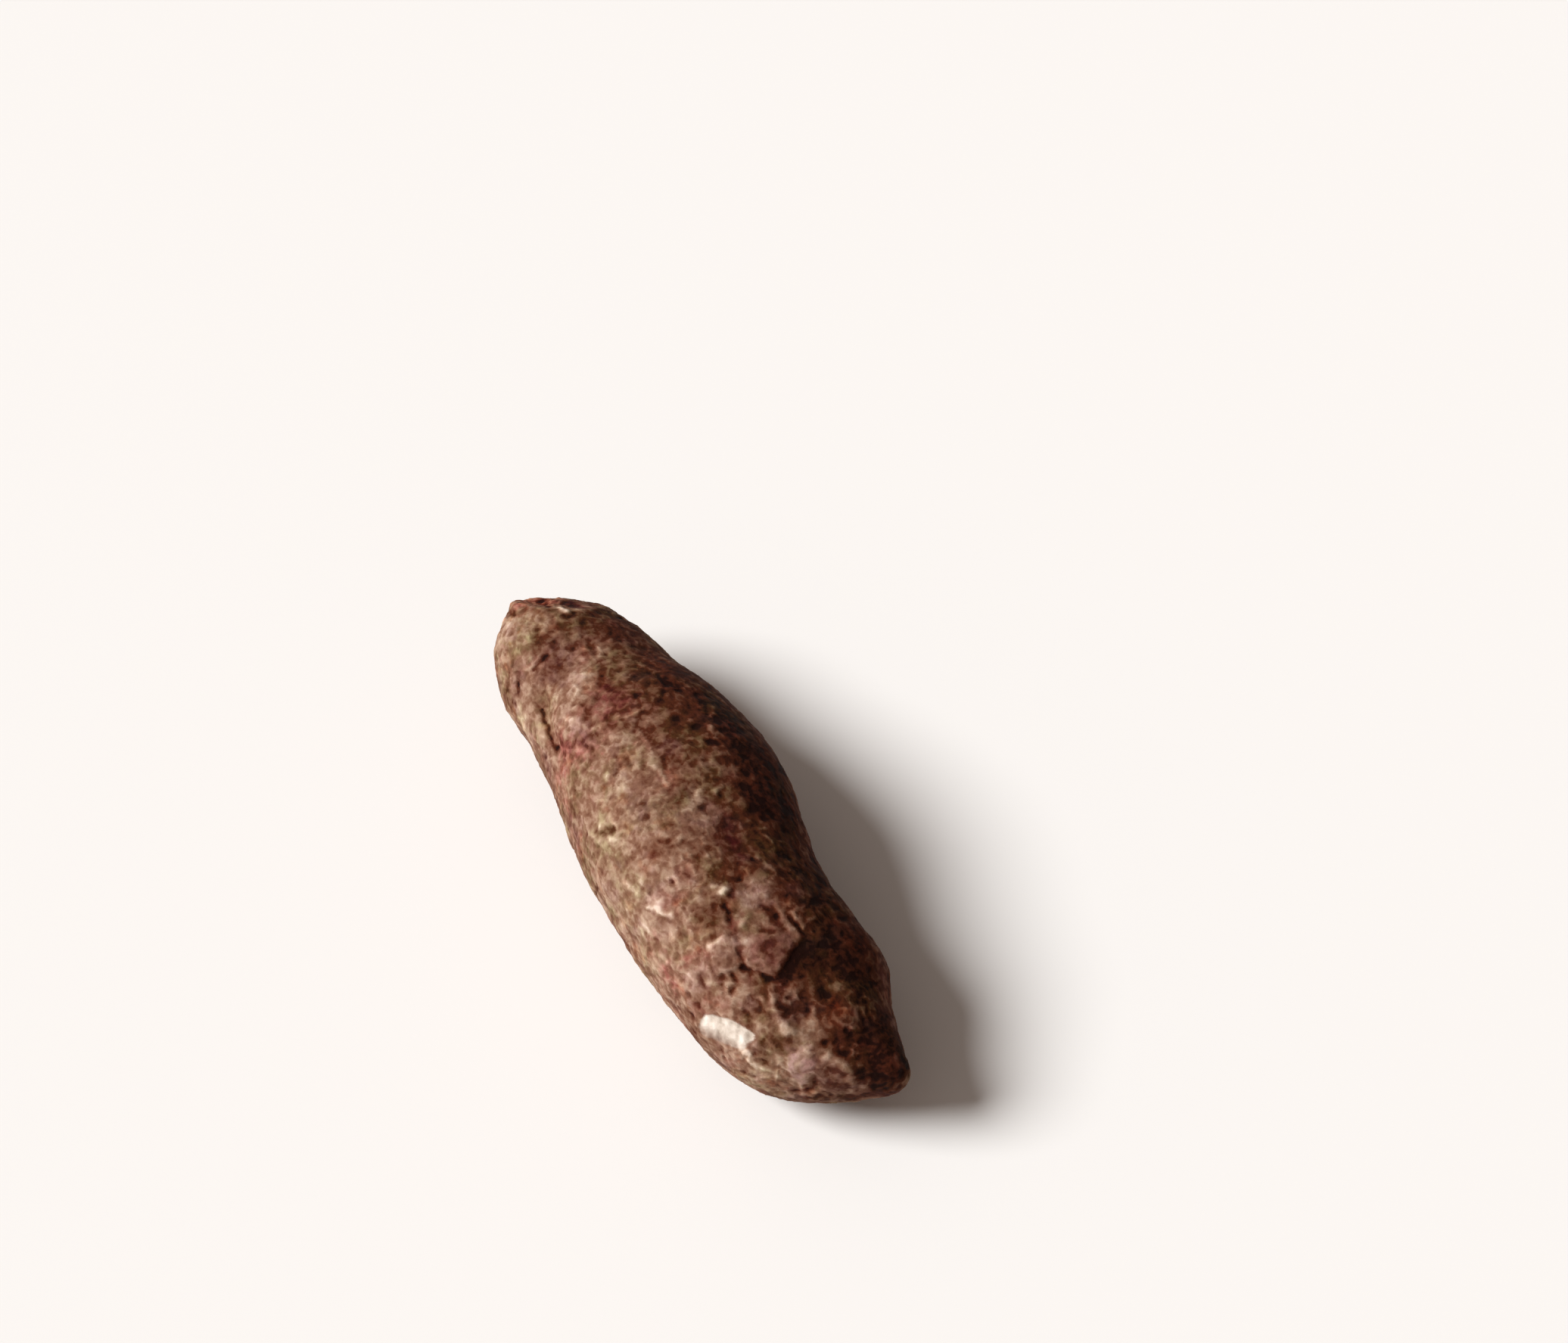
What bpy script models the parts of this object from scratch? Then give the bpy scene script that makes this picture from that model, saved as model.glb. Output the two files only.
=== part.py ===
# Long purple yam tuber with bark-like skin, lying on its side.
# The narrower crown end with the stem scar points along -X, the broad foot end along +X, +Z is up.
# The origin is the middle of the bounding box, on the ground. Lengths here are in millimetres
# and become metres when the finished points are placed.
# A spot on the skin is given by its distance from the crown end and its angle round the tuber
# in degrees: 0 is the right side, 90 the top, 180 the left side, -90 the underside.

import math

import bmesh
import bpy
import numpy as np
from mathutils import Vector, noise

MM = 0.001

# Whole tuber
LENGTH = 187.5
SQUARENESS = 2.15
RINGS = 62
AROUND = 92

# Cross-sections from the crown end to the foot end: distance from the crown end,
# left side, right side, underside and top
SECTIONS = (
    (0.0, -6.0, -6.0, 32.0, 32.0),
    (3.5, -12.8, 3.5, 21.0, 41.5),
    (12.0, -21.0, 13.0, 10.0, 46.0),
    (24.0, -24.2, 19.5, 5.5, 48.0),
    (38.0, -23.6, 23.2, 3.5, 50.0),
    (60.0, -25.8, 30.5, 1.0, 55.0),
    (76.0, -28.0, 33.3, 0.0, 57.0),
    (92.0, -30.2, 33.2, -0.5, 58.0),
    (108.0, -30.2, 29.5, -0.5, 57.5),
    (127.0, -29.2, 25.7, 0.0, 55.0),
    (142.0, -27.3, 27.8, 1.0, 51.5),
    (155.0, -24.6, 29.3, 3.0, 47.0),
    (165.0, -20.0, 24.4, 5.0, 43.5),
    (173.0, -13.0, 21.8, 8.0, 40.0),
    (180.0, -3.2, 19.8, 12.5, 36.5),
    (184.5, 5.5, 18.2, 17.5, 33.0),
    (187.5, 13.0, 13.0, 26.0, 26.0),
)

# Lumps and hollows: distance from the crown end, angle round, reach along, reach across, rise
CROWN_LUMPS = (
    (44.0, 168.0, 14.0, 6.0, 1.0),
    (51.0, 118.0, 9.0, 7.0, 1.0),
    (57.0, 102.0, 6.0, 5.0, -0.9),
    (26.0, 84.0, 7.0, 6.0, 0.6),
    (34.0, 100.0, 6.0, 5.0, -0.5),
)
MIDDLE_LUMPS = (
    (90.0, 140.0, 6.0, 5.0, -0.6),
    (103.0, 112.0, 14.0, 9.0, 0.6),
    (87.0, 68.0, 10.0, 7.0, 0.6),
    (114.0, 80.0, 8.0, 6.0, -1.2),
    (127.5, 98.0, 3.2, 3.0, 0.9),
    (134.0, 64.0, 7.0, 6.0, 0.8),
    (135.0, 136.0, 8.0, 6.0, -0.6),
)
FOOT_LUMPS = (
    (157.0, 79.0, 6.5, 5.5, -1.5),
    (162.5, 99.0, 5.5, 5.0, -1.0),
    (168.0, 76.0, 5.0, 4.0, 0.8),
    (173.5, 134.0, 5.5, 5.0, 1.0),
    (180.5, 128.0, 5.0, 5.0, 0.9),
    (179.0, 86.0, 5.0, 4.0, -1.5),
    (185.0, 60.0, 5.0, 5.0, 0.6),
)
HIDDEN_SIDE_LUMPS = (
    (30.0, 20.0, 12.0, 8.0, 0.8),
    (66.0, 30.0, 14.0, 9.0, -0.8),
    (98.0, -20.0, 12.0, 9.0, 1.0),
    (128.0, 15.0, 13.0, 8.0, 0.9),
    (149.0, -25.0, 9.0, 7.0, -1.1),
    (20.0, -60.0, 10.0, 8.0, -0.8),
    (48.0, -75.0, 12.0, 8.0, 0.7),
    (112.0, -140.0, 13.0, 8.0, -0.9),
    (75.0, -160.0, 12.0, 8.0, 0.7),
    (150.0, -120.0, 9.0, 8.0, 0.9),
)

# Raised skin plates, same columns as the lumps but with a steeper edge
PLATES = (
    (142.0, 119.0, 5.5, 5.0, 0.8),
    (147.5, 97.0, 7.0, 6.0, 1.0),
    (96.0, -60.0, 12.0, 10.0, 0.5),
    (60.0, 5.0, 10.0, 8.0, 0.5),
)
SOFT_EDGE = 1
STEEP_EDGE = 3

# Folds in the skin: width, rise and the spots the fold runs through
NECK_CREASE = (2.4, -1.8, ((38.0, 140.0), (44.0, 144.0), (50.0, 149.0), (54.0, 150.0), (59.0, 151.0)))
CRESCENT_RIDGE = (2.2, 0.8, ((155.0, 109.0), (158.0, 111.0), (162.5, 114.5), (167.0, 116.5)))
BACK_CREASE = (2.6, -1.3, ((118.0, 2.0), (124.0, -6.0), (133.0, -10.0), (141.0, -8.0)))

# Stem scar: a point on its plane and the direction it looks, and how fully the crown is pressed
# back to that plane
SCAR_PLANE = ((8.0, -8.0, 42.5), (-0.634, 0.351, 0.691))
SCAR_PRESS = 0.85
SCAR_RIM_REACH = 1.5
# Cup in the scar and the rim round it, the rim's place and width as shares of the cup's reach
SCAR_CUP = (6.0, -3.0, 38.5)
SCAR_CUP_REACH = 4.5
SCAR_CUP_DEPTH = 2.0
SCAR_RIM_RISE = 0.5
SCAR_RIM_OUT = 1.7
SCAR_RIM_WIDTH = 0.5
SCAR_RAGGED = 0.7

# Height of the flat spot the tuber rests on
REST_HEIGHT = 0.9

# Unevenness of the bark-like skin, from slow to fine: size and rise
WAVES = ((13.0, 0.55), (6.5, 0.3), (4.0, 0.25))


def clear_scene():
    for thing in list(bpy.data.objects):
        bpy.data.objects.remove(thing, do_unlink=True)


def smooth_curve(knots, values, at):
    # Smooth line through the values, with slopes taken from the neighbours
    slopes = np.gradient(values, knots)
    i = np.clip(np.searchsorted(knots, at) - 1, 0, len(knots) - 2)
    span = knots[i + 1] - knots[i]
    t = (at - knots[i]) / span
    start = (1 + 2 * t) * (1 - t) ** 2 * values[i] + t * (1 - t) ** 2 * span * slopes[i]
    end = t * t * (3 - 2 * t) * values[i + 1] + t * t * (t - 1) * span * slopes[i + 1]
    return start + end


def squared(value):
    # Sine or cosine bent so that the section is slightly fuller than an ellipse
    return math.copysign(abs(value) ** (2 / SQUARENESS), value)


def body_point(turn, around):
    # Point on the plain body: turn runs from 0 at the crown pole to pi at the foot pole
    table = np.array(SECTIONS)
    knots = np.arccos(1 - 2 * table[:, 0] / LENGTH)
    left, right, under, top = [smooth_curve(knots, table[:, k], turn) for k in range(1, 5)]
    x = LENGTH * (1 - math.cos(turn)) / 2
    y = (left + right) / 2 + (right - left) / 2 * squared(math.cos(around))
    z = (under + top) / 2 + (top - under) / 2 * squared(math.sin(around))
    return x, y, z


def skin_spot(distance, degrees):
    turn = math.acos(1 - 2 * distance / LENGTH)
    return np.array(body_point(turn, math.radians(degrees)))


def grow_body(bm):
    bmesh.ops.create_uvsphere(bm, u_segments=AROUND, v_segments=RINGS, radius=1)
    for vert in bm.verts:
        turn = math.acos(max(-1.0, min(1.0, -vert.co.z)))
        around = math.atan2(vert.co.y, vert.co.x)
        vert.co = body_point(turn, around)
    bmesh.ops.recalc_face_normals(bm, faces=bm.faces)
    bm.normal_update()


def lump_height(points, lump, edge):
    distance, degrees, along, across, rise = lump
    offset = points - skin_spot(distance, degrees)
    spread = (offset[:, 0] / along) ** 2 + (offset[:, 1] ** 2 + offset[:, 2] ** 2) / across ** 2
    return rise * np.exp(-spread ** edge)


def fold_height(points, fold):
    # A fold has its full rise along its line and fades away beside it
    width, rise, spots = fold
    line = [skin_spot(*spot) for spot in spots]
    nearest = np.full(len(points), np.inf)
    for start, end in zip(line[:-1], line[1:]):
        run = end - start
        share = np.clip((points - start) @ run / (run @ run), 0, 1)
        gap = np.linalg.norm(points - start - share[:, None] * run, axis=1)
        nearest = np.minimum(nearest, gap)
    return rise * np.exp(-(nearest / width) ** 2)


def wave_height(points):
    heights = np.zeros(len(points))
    for size, rise in WAVES:
        heights += [rise * noise.noise(Vector(point) / size) for point in points]
    return heights


def shape_skin(bm):
    points = np.array([vert.co for vert in bm.verts])
    outward = np.array([vert.normal for vert in bm.verts])
    height = wave_height(points)
    for lump in CROWN_LUMPS + MIDDLE_LUMPS + FOOT_LUMPS + HIDDEN_SIDE_LUMPS:
        height += lump_height(points, lump, SOFT_EDGE)
    for plate in PLATES:
        height += lump_height(points, plate, STEEP_EDGE)
    for fold in (NECK_CREASE, CRESCENT_RIDGE, BACK_CREASE):
        height += fold_height(points, fold)
    points += outward * height[:, None]
    for vert, point in zip(bm.verts, points):
        vert.co = point


def stem_scar(bm):
    # Everything beyond the plane of the scar is pressed back nearly onto it, then a cup is sunk
    # inside a raised rim
    point, direction = (Vector(part) for part in SCAR_PLANE)
    direction.normalize()
    cup = Vector(SCAR_CUP)
    for vert in bm.verts:
        beyond = (vert.co - point).dot(direction)
        if beyond > -SCAR_RIM_REACH:
            vert.co -= max(0.0, beyond) * SCAR_PRESS * direction
            ragged = 1 + SCAR_RAGGED * noise.noise(vert.co / SCAR_CUP_REACH)
            out = (vert.co - cup).length / SCAR_CUP_REACH * ragged
            vert.co -= SCAR_CUP_DEPTH * math.exp(-out ** 2) * direction
            vert.co += SCAR_RIM_RISE * math.exp(-((out - SCAR_RIM_OUT) / SCAR_RIM_WIDTH) ** 2) * direction


def rest_flat(bm):
    for vert in bm.verts:
        vert.co.z = max(vert.co.z, REST_HEIGHT)


def centre_on_ground(bm):
    points = np.array([vert.co for vert in bm.verts])
    low, high = points.min(axis=0), points.max(axis=0)
    shift = Vector(((low[0] + high[0]) / 2, (low[1] + high[1]) / 2, low[2]))
    for vert in bm.verts:
        vert.co = (vert.co - shift) * MM


def skin_material():
    mat = bpy.data.materials.new("yam skin")
    mat.use_nodes = True
    shader = mat.node_tree.nodes["Principled BSDF"]
    shader.inputs["Base Color"].default_value = (0.19, 0.10, 0.065, 1)
    shader.inputs["Roughness"].default_value = 0.85
    shader.inputs["Metallic"].default_value = 0.0
    return mat


def make_tuber(collection):
    bm = bmesh.new()
    grow_body(bm)
    shape_skin(bm)
    stem_scar(bm)
    rest_flat(bm)
    centre_on_ground(bm)
    mesh = bpy.data.meshes.new("tuber")
    bm.to_mesh(mesh)
    bm.free()
    mesh.shade_smooth()
    mesh.materials.append(skin_material())
    tuber = bpy.data.objects.new("tuber", mesh)
    collection.objects.link(tuber)
    return tuber


clear_scene()
yam = bpy.data.collections.new("purple yam tuber")
bpy.context.scene.collection.children.link(yam)
make_tuber(yam)
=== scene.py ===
import math

import bpy
import numpy as np
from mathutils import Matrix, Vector, noise
from mathutils.bvhtree import BVHTree


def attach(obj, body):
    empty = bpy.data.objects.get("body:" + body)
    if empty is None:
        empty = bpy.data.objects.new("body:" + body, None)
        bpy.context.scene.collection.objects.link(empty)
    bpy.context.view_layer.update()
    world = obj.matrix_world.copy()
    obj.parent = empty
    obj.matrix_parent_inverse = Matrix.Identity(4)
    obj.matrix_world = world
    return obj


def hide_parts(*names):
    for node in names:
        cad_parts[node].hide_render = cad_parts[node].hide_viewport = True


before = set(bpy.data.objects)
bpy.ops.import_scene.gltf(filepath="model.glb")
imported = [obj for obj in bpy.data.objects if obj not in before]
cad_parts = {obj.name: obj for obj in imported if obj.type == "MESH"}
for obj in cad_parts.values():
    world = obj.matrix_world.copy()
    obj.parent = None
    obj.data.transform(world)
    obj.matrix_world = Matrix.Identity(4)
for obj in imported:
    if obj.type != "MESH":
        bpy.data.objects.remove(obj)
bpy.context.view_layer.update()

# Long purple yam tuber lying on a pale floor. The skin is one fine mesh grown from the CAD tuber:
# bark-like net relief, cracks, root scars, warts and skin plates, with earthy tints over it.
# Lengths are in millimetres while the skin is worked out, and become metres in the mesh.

MM = 0.001

# The photograph's frame in pixels, and the camera that sees the tuber as it does
PHOTO_WIDTH = 2072
PHOTO_HEIGHT = 1775
CAMERA_TARGET = Vector((-0.0545, 0.0593, 0.0))
CAMERA_AZIMUTH = 61.0
CAMERA_ELEVATION = 55.0
CAMERA_DISTANCE = 0.897
CAMERA_LENS = 67.7
SENSOR_WIDTH = 36.0


def direction_from(azimuth, elevation):
    # From the tuber towards a viewer or lamp; azimuth 0 is -Y and 90 is +X
    a, e = math.radians(azimuth), math.radians(elevation)
    return Vector((math.cos(e) * math.sin(a), -math.cos(e) * math.cos(a), math.sin(e)))


CAMERA_BACK = direction_from(CAMERA_AZIMUTH, CAMERA_ELEVATION)
CAMERA_RIGHT = Vector((0, 0, 1)).cross(CAMERA_BACK).normalized()
CAMERA_UP = CAMERA_BACK.cross(CAMERA_RIGHT)
CAMERA_PLACE = CAMERA_TARGET + CAMERA_BACK * CAMERA_DISTANCE


def new_object(name, data):
    made = bpy.data.objects.new(name, data)
    bpy.context.scene.collection.objects.link(made)
    return made


def place_camera():
    lens = bpy.data.cameras.new("camera")
    lens.lens = CAMERA_LENS
    lens.sensor_width = SENSOR_WIDTH
    camera = new_object("camera", lens)
    camera.location = CAMERA_PLACE
    camera.rotation_euler = CAMERA_BACK.to_track_quat("Z", "Y").to_euler()
    bpy.context.scene.camera = camera


def sight_line(pixel):
    x, y = pixel
    focal = CAMERA_LENS / SENSOR_WIDTH * PHOTO_WIDTH
    sideways = CAMERA_RIGHT * ((x - PHOTO_WIDTH / 2) / focal)
    upwards = CAMERA_UP * ((PHOTO_HEIGHT / 2 - y) / focal)
    return (sideways + upwards - CAMERA_BACK).normalized()


# Colours and nodes

def colour(code):
    # sRGB hex to linear
    parts = [int(code[i:i + 2], 16) / 255 for i in (1, 3, 5)]
    linear = [p / 12.92 if p <= 0.04045 else ((p + 0.055) / 1.055) ** 2.4 for p in parts]
    return (*linear, 1.0)


def add(tree, kind, settings=(), links=()):
    # Adds a node; settings are its inputs or properties, links join its inputs to other outputs
    made = tree.nodes.new(kind)
    for name, value in dict(settings).items():
        if isinstance(name, int) or name in made.inputs:
            made.inputs[name].default_value = value
        else:
            setattr(made, name, value)
    for name, socket in dict(links).items():
        tree.links.new(socket, made.inputs[name])
    return made


# Studio: pale paper floor, one broad even light high on the left, dim fill that weakens towards
# the right. The floor's size is in metres, the angles are in degrees

FLOOR_SIZE = 40.0
PAPER_COLOUR = "#efeeec"
PAPER_ROUGHNESS = 0.9
PAPER_GLOSS = 0.1
KEY_AZIMUTH = -25.0
KEY_ELEVATION = 42.0
KEY_SPREAD = 27.0
KEY_STRENGTH = 4.25
FILL_COLOUR = "#ffe9dc"
FILL_TOWARDS = (-0.5, -0.75, 0.45)
FILL_STRONGEST = 0.34
FILL_WEAKEST = 0.02
BACKDROP_COLOUR = "#f9f4f0"


def make_floor():
    # Uncoated paper: matt, with hardly any gloss
    mesh = bpy.data.meshes.new("floor")
    half = FLOOR_SIZE / 2
    corners = [(-half, -half, 0), (half, -half, 0), (half, half, 0), (-half, half, 0)]
    mesh.from_pydata(corners, [], [(0, 1, 2, 3)])
    paper = bpy.data.materials.new("matt white paper floor")
    paper.use_nodes = True
    shader = paper.node_tree.nodes["Principled BSDF"]
    shader.inputs["Base Color"].default_value = colour(PAPER_COLOUR)
    shader.inputs["Roughness"].default_value = PAPER_ROUGHNESS
    shader.inputs["Specular IOR Level"].default_value = PAPER_GLOSS
    mesh.materials.append(paper)
    floor = new_object("floor", mesh)


def make_lights():
    lamp = bpy.data.lights.new("broad key light", "SUN")
    lamp.angle = math.radians(KEY_SPREAD)
    lamp.energy = KEY_STRENGTH
    key = new_object("broad key light", lamp)
    towards = direction_from(KEY_AZIMUTH, KEY_ELEVATION)
    key.location = towards
    key.rotation_euler = towards.to_track_quat("Z", "Y").to_euler()


def make_world():
    # Dim fill for the tuber; the backdrop itself is pale where it is looked at directly
    world = bpy.data.worlds.new("pale studio")
    bpy.context.scene.world = world
    world.use_nodes = True
    tree = world.node_tree
    tree.nodes.clear()
    looked_at = add(tree, "ShaderNodeLightPath").outputs["Is Camera Ray"]
    side = add(tree, "ShaderNodeTexCoord").outputs["Generated"]
    towards = {"operation": "DOT_PRODUCT", 1: FILL_TOWARDS}
    facing = add(tree, "ShaderNodeVectorMath", towards, {0: side}).outputs["Value"]
    weakening = {"From Min": -1.0, "To Min": FILL_WEAKEST, "To Max": FILL_STRONGEST}
    strength = add(tree, "ShaderNodeMapRange", weakening, {"Value": facing}).outputs[0]
    fill = add(tree, "ShaderNodeBackground", {"Color": colour(FILL_COLOUR)}, {"Strength": strength})
    pale = add(tree, "ShaderNodeBackground", {"Color": colour(BACKDROP_COLOUR), "Strength": 1.0})
    parts = {"Fac": looked_at, 1: fill.outputs[0], 2: pale.outputs[0]}
    both = add(tree, "ShaderNodeMixShader", {}, parts)
    add(tree, "ShaderNodeOutputWorld", {}, {"Surface": both.outputs[0]})


# Fine skin mesh: size of its grid, and how often its points are evened out
SKIN_GRID = 0.66
SMOOTHING_ROUNDS = 6
# Tries at finding the skin beside a line of sight that passes the outline
OUTLINE_TRIES = 6
# How far marks are bent and over patches of what size, and the size of the wobble in their borders
BEND = 0.8
BEND_SIZE = 2.4
BEND_SEED = 4
WOBBLE_SIZE = 1.6
# How much a net's lines curl, and the curls' size as a share of the net's
NET_CURL = 0.45
NET_CURL_SIZE = 1.3
# Each random field lies its own number of these steps away along the three axes, so that no two
# are alike. Where several are drawn, this is the first one's number
GRAIN_STEPS = (17.3, 9.1, 5.7)
NET_STEPS = (3.7, 11.9, 7.3)
WAVE_FIELDS = 0
NET_FIELDS = 1
WOBBLE_FIELD = 3
RIDGE_FIELDS = 20
PIT_FIELDS = 30
DRIFT_FIELDS = 40
DRIFT_BREAK_FIELDS = 50
PATCH_FIELDS = 60
LEVEL_FIELD = 70
# Marks and tints end at this many times their reach, where they have all but faded
MARK_END = 2.6
TINT_END = 2.4
MARK_RAGGED = 0.35
TINT_RAGGED = 0.9
TINY = 1e-9


def fine_mesh():
    # The CAD tuber's surface as an even grid of small faces
    source = new_object("grid source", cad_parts["tuber"].data.copy())
    remesh = source.modifiers.new("grid", "REMESH")
    remesh.mode = "VOXEL"
    remesh.voxel_size = SKIN_GRID * MM
    graph = bpy.context.evaluated_depsgraph_get()
    mesh = bpy.data.meshes.new_from_object(source.evaluated_get(graph))
    bpy.data.objects.remove(source)
    mesh.materials.clear()
    return mesh


def read_points(mesh):
    flat = np.empty(len(mesh.vertices) * 3, np.float32)
    mesh.vertices.foreach_get("co", flat)
    return flat.reshape(-1, 3).astype(float) / MM


def write_points(mesh, points):
    mesh.vertices.foreach_set("co", (points * MM).astype(np.float32).ravel())
    mesh.update()


def read_normals(mesh):
    flat = np.empty(len(mesh.vertices) * 3, np.float32)
    mesh.vertex_normals.foreach_get("vector", flat)
    return flat.reshape(-1, 3).astype(float)


def read_edges(mesh):
    flat = np.empty(len(mesh.edges) * 2, np.int32)
    mesh.edges.foreach_get("vertices", flat)
    return flat.reshape(-1, 2)


def softened(values, edges, rounds):
    # Each round moves every value halfway to the mean of its neighbours
    first, second = edges[:, 0], edges[:, 1]
    count = np.bincount(edges.ravel(), minlength=len(values))
    columns = values.reshape(len(values), -1).copy()
    for _ in range(rounds):
        for k in range(columns.shape[1]):
            column = columns[:, k]
            total = np.bincount(first, column[second], len(values))
            total += np.bincount(second, column[first], len(values))
            columns[:, k] = (column + total / count) / 2
    return columns.reshape(values.shape)


def soft_step(low, high, values):
    t = np.clip((values - low) / (high - low), 0, 1)
    return t * t * (3 - 2 * t)


def gap_to_line(spots, start, end):
    # Distance from each spot to the straight line between two points
    run = end - start
    share = np.clip((spots - start) @ run / max(run @ run, TINY), 0, 1)
    return np.linalg.norm(spots - start - share[:, None] * run, axis=1)


class Skin:
    # The skin's points while its relief and tints are worked out
    def __init__(self, mesh):
        self.mesh = mesh
        self.edges = read_edges(mesh)
        self.points = softened(read_points(mesh), self.edges, SMOOTHING_ROUNDS)
        write_points(mesh, self.points)
        self.normals = read_normals(mesh)
        self.vectors = [Vector(point) for point in self.points]
        self.rise = np.zeros(len(self.points))
        self.tone = np.zeros(len(self.points))
        self.tints = {}
        faces = [tuple(face.vertices) for face in mesh.polygons]
        self.surface = BVHTree.FromPolygons(self.vectors, faces)
        self.wobble = self.grain(WOBBLE_SIZE, WOBBLE_FIELD)
        bends = np.array([noise.noise_vector(spot / BEND_SIZE) for spot in self.vectors])
        self.bent = self.points + BEND * bends

    def grain(self, size, number):
        # Smooth random field between about -1 and 1 whose patches are about that many mm across
        offset = Vector([number * step for step in GRAIN_STEPS])
        return np.array([noise.noise(spot / size + offset) for spot in self.vectors])

    def net(self, size, width, number):
        # Winding ridges about that many mm apart: 1 along their lines, falling to 0 between them
        offset = Vector([number * step for step in NET_STEPS])
        bends = [noise.noise_vector(spot / (size * NET_CURL_SIZE) + offset) for spot in self.vectors]
        curled = [spot / size + offset + NET_CURL * bend for spot, bend in zip(self.vectors, bends)]
        field = np.array([noise.noise(spot) for spot in curled])
        return np.exp(-(field / width) ** 2)

    def seen_at(self, pixel):
        # The point of the skin that the photograph shows at a pixel, or beside it at the outline
        eye, sight = CAMERA_PLACE / MM, sight_line(pixel)
        hit = self.surface.ray_cast(eye, sight)[0]
        if hit is None:
            hit = CAMERA_TARGET / MM
            for _ in range(OUTLINE_TRIES):
                hit = self.surface.find_nearest(eye + sight * (hit - eye).dot(sight))[0]
        return np.array(hit)

    def near(self, path, reach):
        low, high = path.min(axis=0) - reach, path.max(axis=0) + reach
        return np.flatnonzero(np.all((self.points > low) & (self.points < high), axis=1))

    def gap_to(self, path, near):
        # Distance from the points to a line through the path's spots, bent so that marks are uneven
        spots = self.bent[near]
        if len(path) == 1:
            return np.linalg.norm(spots - path[0], axis=1)
        return np.min([gap_to_line(spots, *ends) for ends in zip(path[:-1], path[1:])], axis=0)

    def fading(self, path, near, reach, ragged):
        # 1 along the path, fading to 0 round its reach, over a border that is ragged by that share
        gap = self.gap_to(path, near) / reach * (1 + ragged * self.wobble[near])
        return np.exp(-gap ** 2)

    def mark(self, path, rise, tone, reach, ragged=MARK_RAGGED):
        # A pit, wart, crack or ridge
        path = np.array(path, float)
        near = self.near(path, reach * MARK_END)
        shape = self.fading(path, near, reach, ragged)
        self.rise[near] += rise * shape
        self.tone[near] += tone * shape

    def tint(self, name, path, strength, reach):
        # A patch of one of the skin's tints, over the drift that the tint already has
        path = np.array(path, float)
        near = self.near(path, reach * TINT_END)
        patch = strength * self.fading(path, near, reach, TINT_RAGGED)
        self.tints[name][near] = np.maximum(self.tints[name][near], patch)

    def inside(self, corners, edge, ragged):
        # 1 well inside the outline that the corners make on the skin, 0 outside, over a soft edge
        # that wanders by the ragged distance
        corners = np.array(corners, float)
        centre = corners.mean(axis=0)
        out = np.array(self.surface.find_nearest(Vector(centre))[1])
        across = np.cross(out, (0.0, 0.0, 1.0))
        across /= np.linalg.norm(across)
        flat = np.stack([across, np.cross(out, across)], axis=1)
        reach = np.linalg.norm(corners - centre, axis=1).max() + 3 * edge
        near = self.near(centre[None], reach)
        wandering = self.points[near] + ragged * (self.bent[near] - self.points[near])
        spots, outline = (wandering - centre) @ flat, (corners - centre) @ flat
        crossed = np.zeros(len(near), bool)
        gaps = np.full(len(near), np.inf)
        for start, end in zip(outline, np.roll(outline, -1, axis=0)):
            (ax, ay), (bx, by) = start, end
            spans = (spots[:, 1] < ay) != (spots[:, 1] < by)
            meets = ax + (spots[:, 1] - ay) / ((by - ay) or TINY) * (bx - ax)
            crossed ^= spans & (spots[:, 0] < meets)
            gaps = np.minimum(gaps, gap_to_line(spots, start, end))
        depth = np.where(crossed, gaps, -gaps) + ragged * self.wobble[near]
        return near, soft_step(-edge, edge, depth)


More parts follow.
